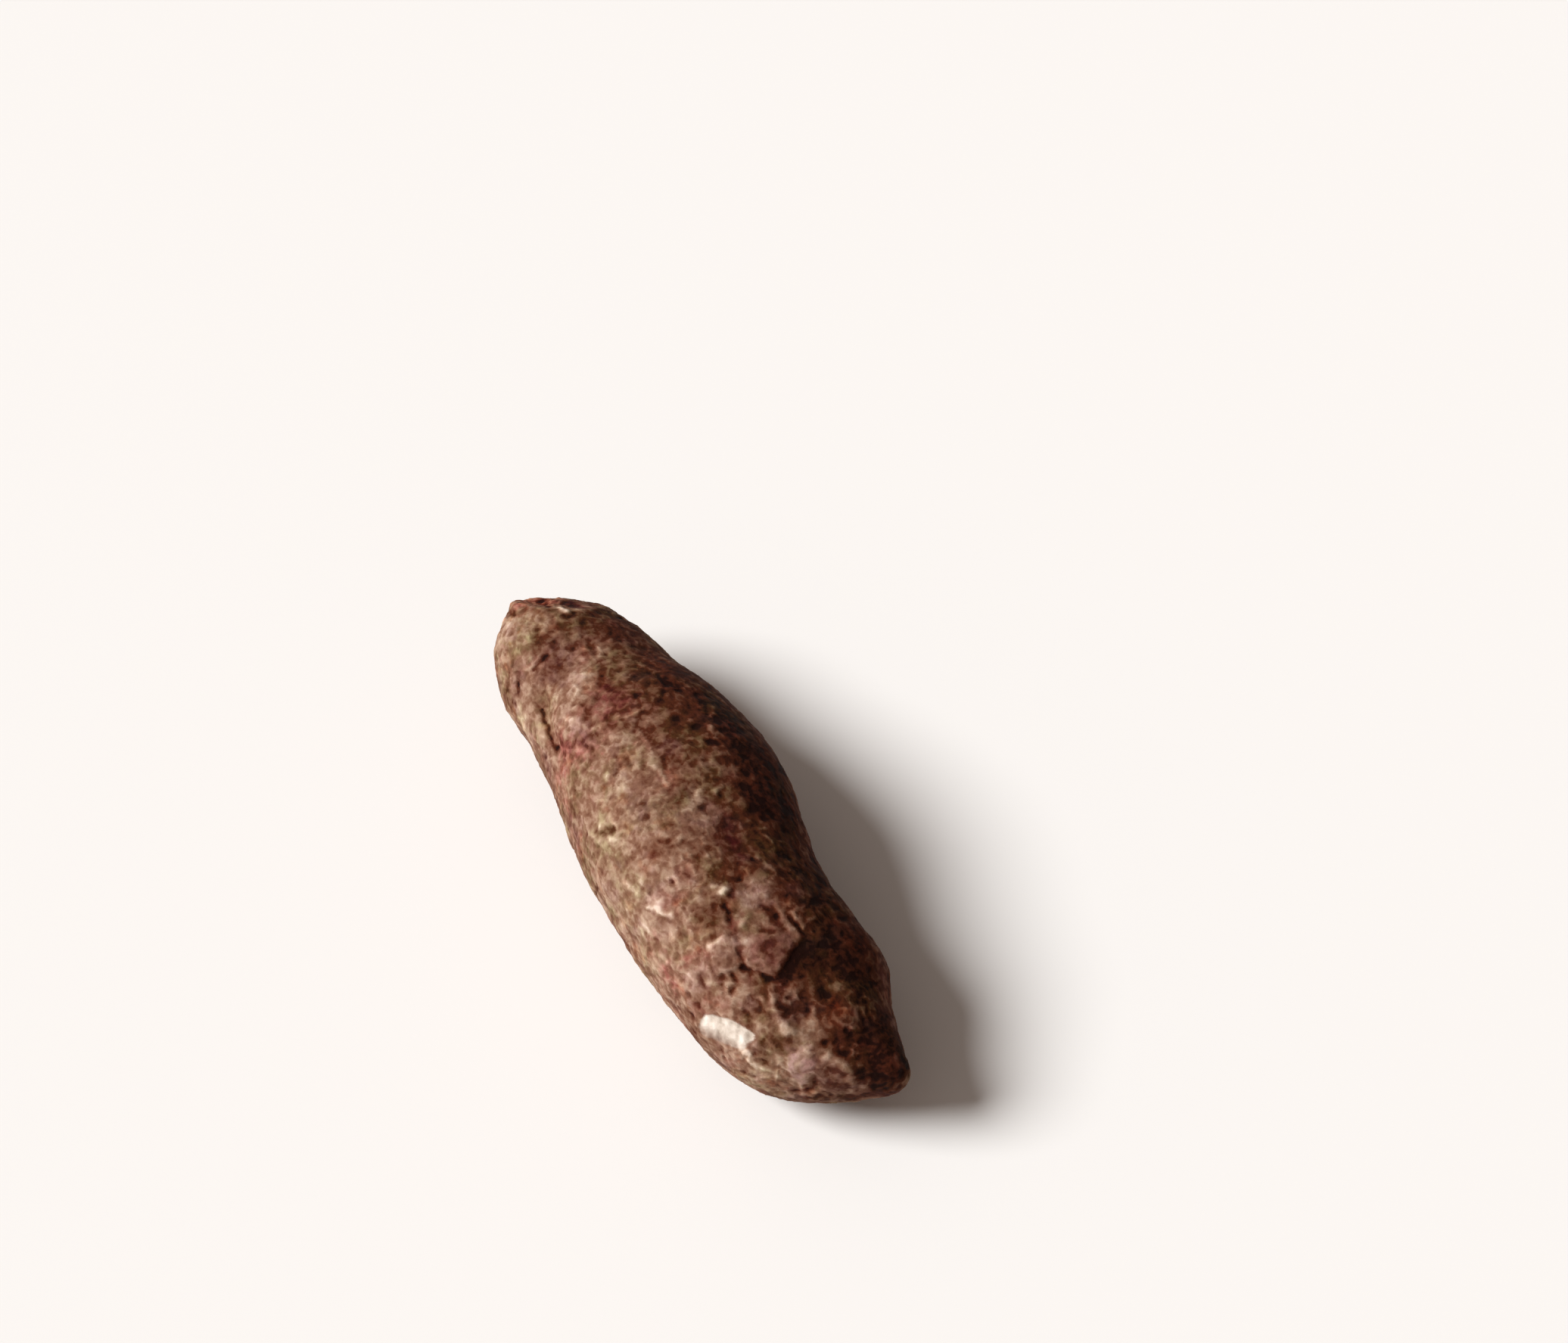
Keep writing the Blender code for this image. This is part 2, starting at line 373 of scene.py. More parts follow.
# Marks that the photograph shows on the skin: rise, tone (below 0 darker, above 0 paler), reach,
# and the pixels that the mark runs through
CROWN_MARKS = (
    (0.8, 0.0, 5.0, ((686, 800), (704, 797))),
    (0.9, 0.0, 5.0, ((715, 796), (745, 795))),
    (1.1, 0.0, 6.0, ((803, 800), (826, 818))),
    (-0.7, -1.0, 0.9, ((679, 812),)),
    (-0.4, -1.0, 1.8, ((677, 796),)),
    (-0.3, -0.9, 1.4, ((716, 796), (719, 801))),
    (-0.5, -0.9, 0.9, ((726, 802),)),
    (0.4, 1.7, 0.9, ((739, 804), (748, 808))),
    (-0.7, -1.0, 0.9, ((744, 812), (752, 814), (758, 809))),
    (-0.6, -1.2, 2.2, ((748, 796), (758, 801))),
    (0.3, 0.5, 1.8, ((737, 820),)),
    (0.2, 0.3, 1.2, ((719, 832),)),
    (-0.3, -0.5, 1.0, ((717, 817),)),
    (-0.3, -0.4, 1.1, ((708, 830), (711, 848))),
    (-0.3, -0.4, 0.9, ((699, 826),)),
    (-0.3, -0.5, 0.9, ((675, 836),)),
    (0.2, 0.4, 0.9, ((678, 843),)),
    (-0.3, -0.4, 1.2, ((670, 861),)),
    (-0.3, -0.4, 1.2, ((679, 870),)),
    (-0.3, -0.4, 1.2, ((671, 881),)),
    (-0.6, -0.8, 0.7, ((706, 885), (713, 877), (719, 871), (723, 866))),
    (0.3, 0.4, 0.8, ((702, 880), (709, 872), (716, 864))),
    (-0.4, -0.7, 1.0, ((733, 848),)),
    (-0.3, -0.5, 1.0, ((753, 840),)),
    (-0.3, -0.6, 0.9, ((758, 856),)),
    (-0.3, -0.4, 1.2, ((738, 876),)),
    (-0.4, -0.7, 1.0, ((776, 847), (782, 856))),
    (-0.4, -0.7, 1.2, ((773, 863),)),
    (0.3, 0.6, 0.8, ((770, 871),)),
    (0.2, 0.4, 0.9, ((779, 881),)),
    (0.3, 0.4, 0.8, ((789, 855), (794, 868))),
    (-0.4, -0.6, 0.9, ((802, 865),)),
    (-0.4, -0.7, 0.9, ((816, 864),)),
    (-0.4, -0.6, 0.9, ((796, 880),)),
    (-0.4, -0.7, 0.9, ((816, 885),)),
    (-0.5, -0.9, 0.9, ((794, 895),)),
    (0.2, 0.4, 1.0, ((801, 902),)),
    (-0.4, -0.7, 1.3, ((849, 857),)),
    (-0.3, -0.6, 1.0, ((832, 879),)),
    (-0.3, -0.6, 1.0, ((837, 894),)),
)
NECK_MARKS = (
    (-0.8, -1.0, 1.0, ((683, 904),)),
    (-0.4, -0.5, 0.9, ((684, 906), (686, 913))),
    (0.3, 0.6, 0.9, ((681, 896),)),
    (0.2, 0.3, 1.2, ((697, 905),)),
    (-0.3, -0.5, 1.0, ((720, 916),)),
    (-0.2, -0.4, 1.0, ((732, 900),)),
    (-0.5, -1.7, 0.65, ((717, 937), (718, 952), (723, 965), (729, 977), (736, 990))),
    (0.3, 0.0, 1.3, ((711, 945), (714, 965), (722, 982))),
    (0.3, 0.9, 3.0, ((687, 938), (691, 950), (696, 966))),
    (0.3, 0.4, 1.3, ((752, 891), (764, 897), (778, 892))),
    (0.3, 0.5, 1.1, ((756, 905), (764, 915))),
    (0.2, 0.15, 1.8, ((757, 951), (766, 960))),
    (-0.4, -0.6, 1.0, ((771, 930), (777, 941), (775, 951), (781, 959))),
    (-0.3, -0.5, 1.3, ((792, 920),)),
    (0.2, 0.4, 0.9, ((813, 948), (831, 948), (840, 942))),
    (-0.4, -0.7, 0.9, ((850, 942),)),
    (0.2, 0.5, 0.9, ((782, 965), (792, 960))),
    (0.2, 0.3, 0.9, ((795, 974), (806, 971), (818, 977))),
    (-0.3, -0.5, 1.0, ((791, 980),)),
    (-0.3, -0.5, 0.9, ((802, 983),)),
    (-0.3, -0.4, 0.9, ((774, 986),)),
    (-0.5, -0.7, 1.3, ((736, 994),)),
    (-0.3, -0.5, 1.0, ((720, 1001),)),
    (-0.4, -0.6, 0.9, ((826, 1002),)),
    (-0.3, -0.4, 0.9, ((813, 1000),)),
    (-0.3, -0.5, 1.0, ((754, 1012),)),
)
UPPER_MARKS = (
    (-0.5, -0.8, 1.2, ((874, 898), (882, 904))),
    (-0.5, -0.8, 1.1, ((895, 910),)),
    (0.3, 0.4, 0.8, ((886, 908),)),
    (0.3, 0.5, 0.9, ((881, 919),)),
    (0.2, 0.3, 1.0, ((864, 899),)),
    (-0.4, -0.6, 1.0, ((920, 917),)),
    (-0.3, -0.5, 1.0, ((936, 920),)),
    (-0.3, -0.5, 1.4, ((839, 920),)),
    (0.3, 0.7, 1.0, ((912, 952),)),
    (-0.5, -0.8, 0.9, ((934, 944),)),
    (0.3, 0.5, 0.8, ((942, 935), (940, 947))),
    (-0.5, -0.8, 1.0, ((920, 961),)),
    (0.3, 0.6, 0.9, ((940, 962), (943, 974))),
    (-0.4, -0.7, 1.0, ((937, 980),)),
    (-0.3, -0.6, 1.0, ((904, 979),)),
    (0.2, 0.4, 1.0, ((898, 932),)),
    (-0.3, -0.5, 1.5, ((895, 948),)),
    (0.2, 0.4, 1.1, ((859, 993),)),
    (-0.3, -0.6, 0.9, ((878, 1000), (879, 1014))),
    (-0.3, -0.6, 1.0, ((914, 1010),)),
    (0.2, 0.35, 1.0, ((975, 1000),)),
    (0.2, 0.3, 1.0, ((987, 1006),)),
    (0.2, 0.3, 0.9, ((957, 994),)),
    (0.3, 0.5, 0.9, ((864, 1015), (871, 1019), (876, 1027), (878, 1034))),
    (0.2, 0.3, 1.5, ((843, 1013),)),
    (0.4, 0.9, 1.1, ((801, 1027),)),
    (0.2, 0.4, 1.1, ((784, 1040),)),
    (-0.3, -0.5, 0.9, ((797, 1042),)),
    (0.4, 0.8, 0.8, ((922, 1050), (926, 1043))),
    (0.4, 0.8, 0.8, ((944, 1046), (950, 1040))),
    (-0.5, -0.9, 0.9, ((953, 1050),)),
    (-0.6, -0.9, 1.1, ((930, 1067),)),
    (-0.2, -0.5, 0.9, ((935, 1026), (945, 1031), (955, 1029))),
)
MIDDLE_MARKS = (
    (-0.3, -0.5, 0.8, ((759, 1034), (760, 1044))),
    (-0.2, -0.4, 0.9, ((773, 1043),)),
    (-0.2, -0.4, 1.0, ((838, 1032),)),
    (-0.2, -0.4, 1.0, ((818, 1016),)),
    (-0.2, -0.5, 1.0, ((837, 1073),)),
    (-0.2, -0.4, 1.0, ((859, 1086),)),
    (-0.3, -0.6, 0.7, ((790, 1099), (798, 1103), (807, 1101), (812, 1094))),
    (0.4, 0.7, 1.3, ((784, 1104), (792, 1110), (801, 1114), (813, 1109))),
    (0.3, 0.9, 1.0, ((795, 1092),)),
    (0.2, 0.5, 0.9, ((805, 1083), (815, 1088))),
    (-0.4, -0.7, 0.7, ((805, 1095),)),
    (-0.2, -0.3, 0.7, ((826, 1091), (828, 1101), (821, 1111))),
    (-0.2, -0.4, 0.8, ((795, 1082), (803, 1074))),
    (-0.3, -0.5, 0.9, ((776, 1100),)),
    (-0.5, -0.8, 1.0, ((873, 1113),)),
    (-0.4, -0.7, 1.0, ((885, 1112),)),
    (0.3, 0.5, 1.0, ((898, 1107),)),
    (-0.2, -0.3, 0.7, ((868, 1096), (877, 1092), (885, 1099))),
    (-0.2, -0.4, 1.0, ((911, 1075),)),
    (-0.2, -0.45, 1.1, ((863, 1131),)),
    (-0.3, -0.5, 1.0, ((828, 1141),)),
    (-0.2, -0.4, 1.0, ((851, 1150),)),
    (0.3, 0.6, 1.0, ((847, 1165),)),
    (-0.3, -0.5, 0.9, ((849, 1175),)),
    (-0.3, -0.5, 0.9, ((859, 1181),)),
    (0.4, 0.7, 0.8, ((884, 1160), (890, 1156), (897, 1163), (897, 1172))),
    (-0.5, -0.8, 0.8, ((889, 1167),)),
    (0.3, 0.35, 1.8, ((825, 1166), (835, 1176), (851, 1190), (870, 1192))),
    (-0.3, -0.5, 0.8, ((917, 1122), (922, 1140))),
    (0.4, 0.8, 1.1, ((933, 1132),)),
    (-0.3, -0.5, 0.9, ((943, 1136),)),
    (0.2, 0.4, 0.9, ((930, 1146),)),
    (0.6, 1.9, 1.2, ((957, 1178),)),
    (-0.6, -1.6, 1.0, ((967, 1176), (966, 1183))),
    (0.2, 0.6, 1.4, ((945, 1176),)),
    (-0.6, -0.9, 1.0, ((978, 1162),)),
    (-0.4, -0.7, 0.9, ((986, 1171),)),
    (0.3, 0.6, 1.2, ((1012, 1184),)),
    (-0.4, -0.6, 1.0, ((993, 1135),)),
    (0.2, 0.4, 0.9, ((1001, 1133),)),
    (0.3, 0.4, 0.9, ((1010, 1143), (1021, 1147), (1025, 1155), (1019, 1164))),
    (-0.3, -0.5, 0.9, ((1015, 1150),)),
    (0.2, 0.5, 1.1, ((1013, 1094),)),
    (0.2, 0.4, 0.9, ((1013, 1106), (1020, 1116))),
    (0.2, 0.4, 1.0, ((1025, 1057),)),
)
LOWER_MARKS = (
    (0.2, 0.4, 1.0, ((1050, 1178),)),
    (0.2, 0.4, 1.0, ((1068, 1181),)),
    (-0.5, -0.8, 0.9, ((1008, 1196), (1012, 1201))),
    (-0.6, -0.9, 0.9, ((1018, 1203), (1027, 1210))),
    (0.3, 0.5, 0.9, ((1041, 1195),)),
    (-0.6, -0.9, 0.7, ((955, 1199), (961, 1205), (964, 1213))),
    (0.3, 0.5, 0.8, ((950, 1200), (953, 1208))),
    (0.3, 0.5, 0.8, ((985, 1213), (978, 1222))),
    (-0.5, -0.6, 1.0, ((966, 1216), (968, 1230))),
    (-0.4, -0.7, 1.4, ((941, 1222),)),
    (0.3, 0.6, 1.4, ((911, 1216), (913, 1228))),
    (0.5, 0.9, 1.1, ((1030, 1207), (1036, 1217), (1045, 1226), (1054, 1238))),
    (-0.4, -0.9, 0.6, ((1042, 1214), (1049, 1222), (1056, 1230))),
    (0.4, 0.8, 0.9, ((1048, 1208), (1054, 1215), (1061, 1228))),
    (0.4, 0.9, 0.8, ((858, 1197), (869, 1202), (878, 1207), (888, 1212))),
    (-0.2, -0.4, 1.1, ((870, 1223),)),
    (0.2, 0.4, 1.4, ((860, 1231),)),
    (0.2, 0.4, 1.2, ((829, 1200),)),
    (-0.2, -0.4, 1.0, ((832, 1236),)),
    (-0.3, -0.5, 1.0, ((843, 1244),)),
    (-0.3, -0.5, 0.9, ((938, 1240), (950, 1237))),
    (-0.3, -0.5, 1.0, ((906, 1236),)),
    (0.4, 0.6, 0.8, ((938, 1250), (949, 1243), (958, 1237))),
    (0.2, 0.4, 1.0, ((962, 1255),)),
    (0.3, 0.5, 1.0, ((954, 1284), (967, 1281))),
    (-0.5, -0.5, 1.0, ((979, 1252), (981, 1264), (984, 1278))),
    (-0.4, -0.7, 0.9, ((975, 1244),)),
    (-0.3, -0.6, 0.9, ((1002, 1238),)),
    (-0.4, -0.6, 0.9, ((1007, 1228), (1018, 1232))),
    (0.25, 0.35, 1.6, (
        (1040, 1232), (1047, 1243), (1044, 1256), (1036, 1268), (1031, 1278), (1022, 1287))),
    (-0.3, -0.5, 1.6, ((1056, 1250), (1052, 1260), (1044, 1270), (1040, 1281), (1031, 1290))),
    (0.3, 0.7, 1.1, ((941, 1250), (956, 1240), (972, 1246))),
    (0.2, 0.5, 1.1, ((978, 1250), (995, 1240), (1012, 1234))),
    (-0.5, -0.7, 1.0, ((983, 1279), (993, 1284))),
    (-0.4, -0.6, 1.2, ((955, 1291),)),
    (-0.3, -0.5, 1.2, ((941, 1283),)),
    (-0.6, -0.9, 0.8, ((970, 1290), (974, 1300), (967, 1313))),
    (-0.6, -0.9, 0.9, ((1010, 1289), (1020, 1295))),
    (-0.4, -0.6, 1.0, ((926, 1293), (928, 1301))),
    (0.3, 0.5, 0.9, ((935, 1299), (944, 1301))),
    (0.3, 0.4, 0.9, ((961, 1301), (962, 1312))),
    (0.3, 0.5, 0.9, ((911, 1288), (918, 1297))),
    (-0.3, -0.5, 1.0, ((903, 1295),)),
    (-0.4, -0.7, 1.1, ((908, 1315),)),
    (-0.5, -0.8, 1.0, ((922, 1330),)),
    (-0.4, -0.7, 1.0, ((915, 1345),)),
)
FOOT_MARKS = (
    (1.7, 0.0, 4.5, ((1194, 1430),)),
    (0.9, 0.0, 5.0, ((1180, 1332), (1183, 1348))),
    (-0.5, -0.7, 0.9, ((995, 1319), (1002, 1328), (1005, 1337))),
    (-0.5, -0.7, 0.9, ((985, 1339), (995, 1344))),
    (0.3, 0.4, 0.9, ((1006, 1321),)),
    (0.8, 0.45, 1.5, (
        (1018, 1309), (1020, 1320), (1024, 1336), (1030, 1346), (1036, 1354), (1040, 1364))),
    (-0.4, -0.6, 1.0, ((1010, 1318), (1013, 1310))),
    (-0.3, -0.4, 1.2, ((1030, 1320), (1033, 1335), (1040, 1348))),
    (0.3, 0.5, 1.0, ((1005, 1356),)),
    (-0.4, -0.7, 1.1, ((1007, 1380),)),
    (-0.3, -0.5, 1.0, ((1027, 1379),)),
    (-0.6, -1.0, 1.0, ((996, 1392),)),
    (0.3, 1.9, 0.8, ((984, 1390), (990, 1393))),
    (0.4, 0.8, 0.8, ((990, 1401), (997, 1406))),
    (-0.4, -0.7, 0.9, ((1002, 1402), (1014, 1404))),
    (-0.4, -0.7, 0.9, ((994, 1412),)),
    (-0.5, -0.8, 1.1, ((952, 1387),)),
    (-0.4, -0.7, 1.1, ((957, 1398),)),
    (-0.5, -0.9, 1.5, ((1044, 1292),)),
    (-0.5, -0.8, 1.0, ((1038, 1302),)),
    (-0.6, -0.9, 1.2, ((1087, 1308), (1092, 1317))),
    (0.3, 0.6, 1.2, ((1107, 1302),)),
    (0.2, 0.3, 1.8, ((1072, 1294),)),
    (-0.5, -0.7, 0.7, ((1043, 1319),)),
    (0.3, 0.3, 0.8, (
        (1035, 1318), (1040, 1311), (1049, 1312), (1053, 1319), (1048, 1327), (1038, 1326),
        (1035, 1318))),
    (-0.5, -0.9, 1.0, ((1065, 1334),)),
    (0.5, 0.9, 1.0, ((1077, 1335),)),
    (0.3, 0.4, 1.3, ((1075, 1353),)),
    (0.2, 0.4, 0.9, ((1045, 1345),)),
    (0.3, 0.3, 1.5, ((1115, 1337),)),
    (-0.5, -0.8, 1.2, ((1121, 1364),)),
    (0.3, 0.4, 0.9, ((1129, 1358),)),
    (0.3, 0.6, 0.8, ((1128, 1382), (1126, 1392))),
    (-0.6, -0.8, 1.4, ((1117, 1391),)),
    (-0.4, -0.6, 1.1, ((1105, 1378),)),
    (-0.4, -0.6, 0.9, ((1089, 1379),)),
    (-0.3, -0.5, 0.9, ((1074, 1394), (1074, 1410))),
    (0.3, 0.5, 0.9, ((1090, 1389), (1097, 1397))),
    (0.5, 0.7, 1.2, (
        (1092, 1400), (1103, 1403), (1114, 1409), (1123, 1419), (1128, 1430), (1124, 1442))),
    (-0.3, -0.7, 0.9, ((1097, 1410), (1108, 1414), (1116, 1424))),
    (-0.4, -0.8, 0.8, ((1049, 1391), (1047, 1402), (1052, 1416))),
    (0.5, 0.3, 2.4, ((1059, 1396), (1063, 1410))),
    (0.3, 0.5, 0.9, ((1147, 1428), (1142, 1436))),
    (0.3, 0.4, 0.9, ((1137, 1410),)),
    (-0.6, -0.8, 1.1, ((1079, 1423), (1078, 1431))),
    (-0.5, -0.7, 0.9, ((1068, 1439),)),
    (0.4, 0.6, 0.9, ((1057, 1433), (1061, 1444), (1073, 1447), (1079, 1442))),
    (-0.5, -0.6, 0.9, ((1051, 1441),)),
    (-0.5, -0.8, 1.1, ((984, 1418),)),
    (-0.5, -0.9, 0.9, ((997, 1425),)),
    (0.3, 0.5, 0.8, ((1008, 1412), (1018, 1417), (1027, 1422))),
)
SEEN_MARKS = CROWN_MARKS + NECK_MARKS + UPPER_MARKS + MIDDLE_MARKS + LOWER_MARKS + FOOT_MARKS

# Tints that the photograph shows: tint, strength, reach, pixels
SEEN_TINTS = (
    ("rose", 1.2, 2.2, ((686, 801), (700, 799), (716, 798), (732, 798))),
    ("rust", 0.9, 1.4, ((728, 801),)),
    ("lilac", 1.0, 2.2, ((677, 796),)),
    ("wine", 1.2, 2.4, ((746, 797), (764, 801))),
    ("olive", 0.9, 5.0, ((695, 845),)),
    ("olive", 1.2, 4.5, ((678, 868),)),
    ("lilac", 0.5, 5.0, ((738, 860), (752, 868))),
    ("lilac", 0.4, 3.0, ((715, 895),)),
    ("olive", 0.5, 2.5, ((720, 920), (728, 935))),
    ("olive", 0.5, 3.0, ((785, 875),)),
    ("wine", 0.4, 5.0, ((835, 850), (860, 872))),
    ("rose", 1.2, 3.4, ((745, 986), (758, 992), (772, 985))),
    ("rose", 0.7, 3.5, ((750, 1008), (740, 1030), (752, 1075))),
    ("wine", 1.0, 3.4, ((797, 916), (815, 927))),
    ("rose", 1.0, 4.0, ((808, 934), (822, 922))),
    ("lilac", 0.7, 2.5, ((760, 960), (776, 978))),
    ("olive", 0.5, 1.3, ((760, 1038),)),
    ("lilac", 0.6, 4.0, ((838, 1060), (852, 1080))),
    ("lilac", 0.4, 3.5, ((820, 1020),)),
    ("olive", 0.6, 4.0, ((800, 1113), (792, 1135))),
    ("olive", 0.6, 4.0, ((828, 1192), (842, 1178))),
    ("wine", 0.9, 3.2, ((955, 1102), (968, 1109), (975, 1128))),
    ("rust", 0.5, 2.2, ((985, 1150),)),
    ("rust", 0.4, 1.5, ((852, 1150),)),
    ("lilac", 0.7, 3.0, ((1006, 1180),)),
    ("wine", 0.9, 1.6, ((966, 1214), (968, 1226))),
    ("rust", 0.7, 1.3, ((966, 1224),)),
    ("lilac", 0.4, 3.0, ((884, 1230),)),
    ("olive", 0.5, 2.6, ((896, 1245), (944, 1234))),
    ("rose", 0.8, 3.6, ((882, 1288), (893, 1302))),
    ("rose", 0.8, 3.0, ((912, 1268), (926, 1261))),
    ("rose", 0.5, 3.5, ((862, 1262),)),
    ("lilac", 0.4, 2.5, ((956, 1264),)),
    ("rose", 0.5, 5.0, ((1010, 1262), (1038, 1242))),
    ("rose", 0.4, 3.0, ((955, 1326),)),
    ("lilac", 0.5, 2.0, ((990, 1327),)),
    ("lilac", 0.5, 3.2, ((1044, 1325),)),
    ("olive", 0.4, 4.5, ((1080, 1298),)),
    ("rust", 0.9, 2.2, ((1106, 1332), (1117, 1338))),
    ("olive", 0.5, 3.2, ((1046, 1362),)),
    ("lilac", 0.9, 3.2, ((1060, 1396), (1062, 1412))),
    ("lilac", 0.4, 4.0, ((1112, 1426),)),
    ("rose", 0.7, 2.0, ((1063, 1441),)),
    ("rose", 0.5, 3.0, ((965, 1404),)),
    ("olive", 0.6, 3.0, ((1014, 1414),)),
    ("rust", 0.5, 3.0, ((1020, 1432),)),
    ("rust", 0.5, 4.0, ((1165, 1362),)),
)

# How dusty and pale (above 0) or bare and dark (below 0) the skin is around spots of the photograph:
# level, reach, pixel. The deep levels at (815, 830), (955, 960), (1030, 1070), (1075, 1150),
# (1070, 1275), (1125, 1270) and (1150, 1385) are painted shade instead: the tuber's right flank
# darkened in the skin's own colour for the shade it lies in.
SEEN_LEVELS = (
    (0.10, 9.0, (675, 850)),
    (-0.35, 5.0, (712, 798)),
    (-0.12, 7.0, (745, 855)),
    (-0.55, 7.0, (815, 830)),
    (0.07, 8.0, (700, 950)),
    (0.12, 7.0, (760, 930)),
    (-0.45, 5.0, (760, 993)),
    (-0.50, 7.0, (808, 925)),
    (-0.55, 9.0, (900, 910)),
    (-0.80, 8.0, (955, 960)),
    (0.08, 12.0, (780, 1060)),
    (-0.15, 12.0, (880, 1050)),
    (-0.80, 10.0, (1030, 1070)),
    (0.20, 12.0, (830, 1180)),
    (-0.10, 10.0, (905, 1140)),
    (-0.60, 6.0, (970, 1115)),
    (-0.80, 9.0, (1075, 1150)),
    (0.03, 9.0, (875, 1265)),
    (0.10, 8.0, (960, 1250)),
    (-0.28, 7.0, (1015, 1255)),
    (-0.75, 7.0, (1070, 1275)),
    (-0.80, 9.0, (1125, 1270)),
    (0.20, 6.0, (975, 1410)),
    (0.0, 7.0, (960, 1320)),
    (-0.75, 5.0, (1048, 1318)),
    (-0.08, 6.0, (1035, 1358)),
    (0.17, 5.0, (1062, 1405)),
    (-0.28, 6.0, (1110, 1415)),
    (-0.60, 5.0, (1112, 1340)),
    (-0.95, 6.0, (1150, 1385)),
    (-0.70, 6.0, (1185, 1418)),
)
# The same for the flank that the photograph doesn't show: level, reach, place in mm. These are
# painted shade: that flank is made darker so that the painted shade on the right side runs on over
# it without an edge
FLANK_SHADE_LEVELS = (
    (-0.35, 20.0, (-45.0, 26.0, 28.0)),
    (-0.55, 20.0, (-10.0, 30.0, 28.0)),
    (-0.50, 20.0, (28.0, 26.0, 28.0)),
    (-0.40, 18.0, (62.0, 22.0, 24.0)),
)
# Level away from all these spots, and the little weight that it has near them
ELSEWHERE_LEVEL = -0.05
ELSEWHERE_WEIGHT = 0.02
LEVEL_RAGGED = 0.7
LEVEL_RAGGED_SIZE = 8.0

# Where the outer skin is scuffed off and the pale layer below shows
SCUFFED_PATCH = (
    (932, 1341), (940, 1341), (949, 1344), (963, 1347), (975, 1353), (985, 1359), (998, 1368),
    (995, 1375), (987, 1379), (984, 1386), (976, 1386), (967, 1383), (955, 1378), (942, 1373),
    (927, 1366), (924, 1358), (927, 1349),
)
# Flakes of outer bark that stand up a little: rise, how much smoother they are than the rest, tint,
# strength of the tint, and the pixels of the outline
SEEN_PLATES = (
    (0.28, 0.35, "lilac", 0.2, (
        (936, 1250), (947, 1242), (958, 1238), (969, 1245), (975, 1262), (972, 1282),
        (952, 1288), (939, 1275))),
    (0.28, 0.25, "lilac", 0.2, (
        (981, 1245), (994, 1237), (1012, 1234), (1032, 1231), (1044, 1237), (1048, 1250),
        (1040, 1266), (1032, 1280), (1020, 1288), (1004, 1285), (990, 1279), (983, 1262))),
    (0.4, 0.8, "lilac", 0.75, (
        (1038, 1402), (1048, 1392), (1062, 1386), (1073, 1391), (1076, 1405), (1071, 1420),
        (1062, 1433), (1051, 1427), (1042, 1416))),
    (0.25, 0.45, "lilac", 0.3, (
        (1080, 1404), (1093, 1399), (1108, 1406), (1120, 1417), (1127, 1431), (1118, 1443),
        (1099, 1445), (1082, 1438), (1077, 1420))),
)
PLATE_EDGE = 0.8
PLATE_RAGGED = 1.0
# The scuffed patch's corners at the ends of its long side, and a pixel on its lower edge, towards
# which it thins over this span of its width
SCUFF_LONG_ENDS = (0, 6)
SCUFF_THIN_END = (932, 1368)
SCUFF_THIN_SPAN = (0.35, 1.0)
SCUFF_THIN_RAGGED = 0.15
SCUFF_THINNING = 0.75
SCUFF_DEPTH = 0.25
SCUFF_EDGE = 0.3
SCUFF_RAGGED = 0.15
SCUFF_BAND = 2.4
SCUFF_BAND_BEND = 0.3
SCUFF_TONE = 0.1
SCUFF_BAND_TONE = 1.6

# Slow unevenness of the bark: size and rise
BARK_WAVES = ((8.0, 0.22), (4.2, 0.12))
# Winding ridges of the bark: distance between them, width, rise, tone
BARK_NETS = ((3.3, 0.2, 0.15, 0.25), (2.2, 0.22, 0.1, 0.17))
# The ridges come and go: their strength, its swing and limits, and the swing's size as a share of
# their distance
RIDGE_STRENGTH = 0.75
RIDGE_SWING = 1.1
RIDGE_LIMITS = (0.1, 1.4)
RIDGE_SWING_SIZE = 2.6
# Pits between the ridges: size, rise, tone, and the part of the random field that is a pit
BARK_PITS = ((3.8, -0.12, -0.12, 0.1, 0.6), (2.0, -0.08, -0.1, 0.1, 0.6))
# Shares of the traced marks that the bark keeps, so that they sit in it and not on it
MARK_RISE = 0.7
DARK_MARK_TONE = 0.75
PALE_MARK_TONE = 1.15
TINT_SHARE = 0.8


def grow_bark(skin):
    for number, (size, rise) in enumerate(BARK_WAVES, WAVE_FIELDS):
        skin.rise += rise * skin.grain(size, number)
    for k, (size, width, rise, tone) in enumerate(BARK_NETS):
        swing = RIDGE_SWING * skin.grain(RIDGE_SWING_SIZE * size, RIDGE_FIELDS + k)
        strength = np.clip(RIDGE_STRENGTH + swing, *RIDGE_LIMITS)
        ridges = strength * skin.net(size, width, NET_FIELDS + k)
        skin.rise += rise * ridges
        skin.tone += tone * (ridges - ridges.mean())
    for number, (size, rise, tone, low, high) in enumerate(BARK_PITS, PIT_FIELDS):
        pits = soft_step(low, high, skin.grain(size, number))
        skin.rise += rise * pits
        skin.tone += tone * (pits - pits.mean())


# Slow drift of the skin's tints all over: tint, strength, patch size, and where the field begins
TINT_DRIFTS = (
    ("olive", 0.5, 11.0, -0.1),
    ("rose", 0.3, 9.0, 0.08),
    ("lilac", 0.35, 8.0, 0.1),
    ("rust", 0.3, 7.0, 0.18),
    ("wine", 0.25, 9.0, 0.2),
)
DRIFT_SPAN = 0.5
# Finer field that breaks the drift's borders: its share, and its size as a share of the patch size
DRIFT_BREAK = 0.4
DRIFT_BREAK_SIZE = 0.25


def drift_tints(skin):
    for k, (name, strength, size, start) in enumerate(TINT_DRIFTS):
        broken = DRIFT_BREAK * skin.grain(DRIFT_BREAK_SIZE * size, DRIFT_BREAK_FIELDS + k)
        field = skin.grain(size, DRIFT_FIELDS + k) + broken
        skin.tints[name] = strength * soft_step(start, start + DRIFT_SPAN, field)


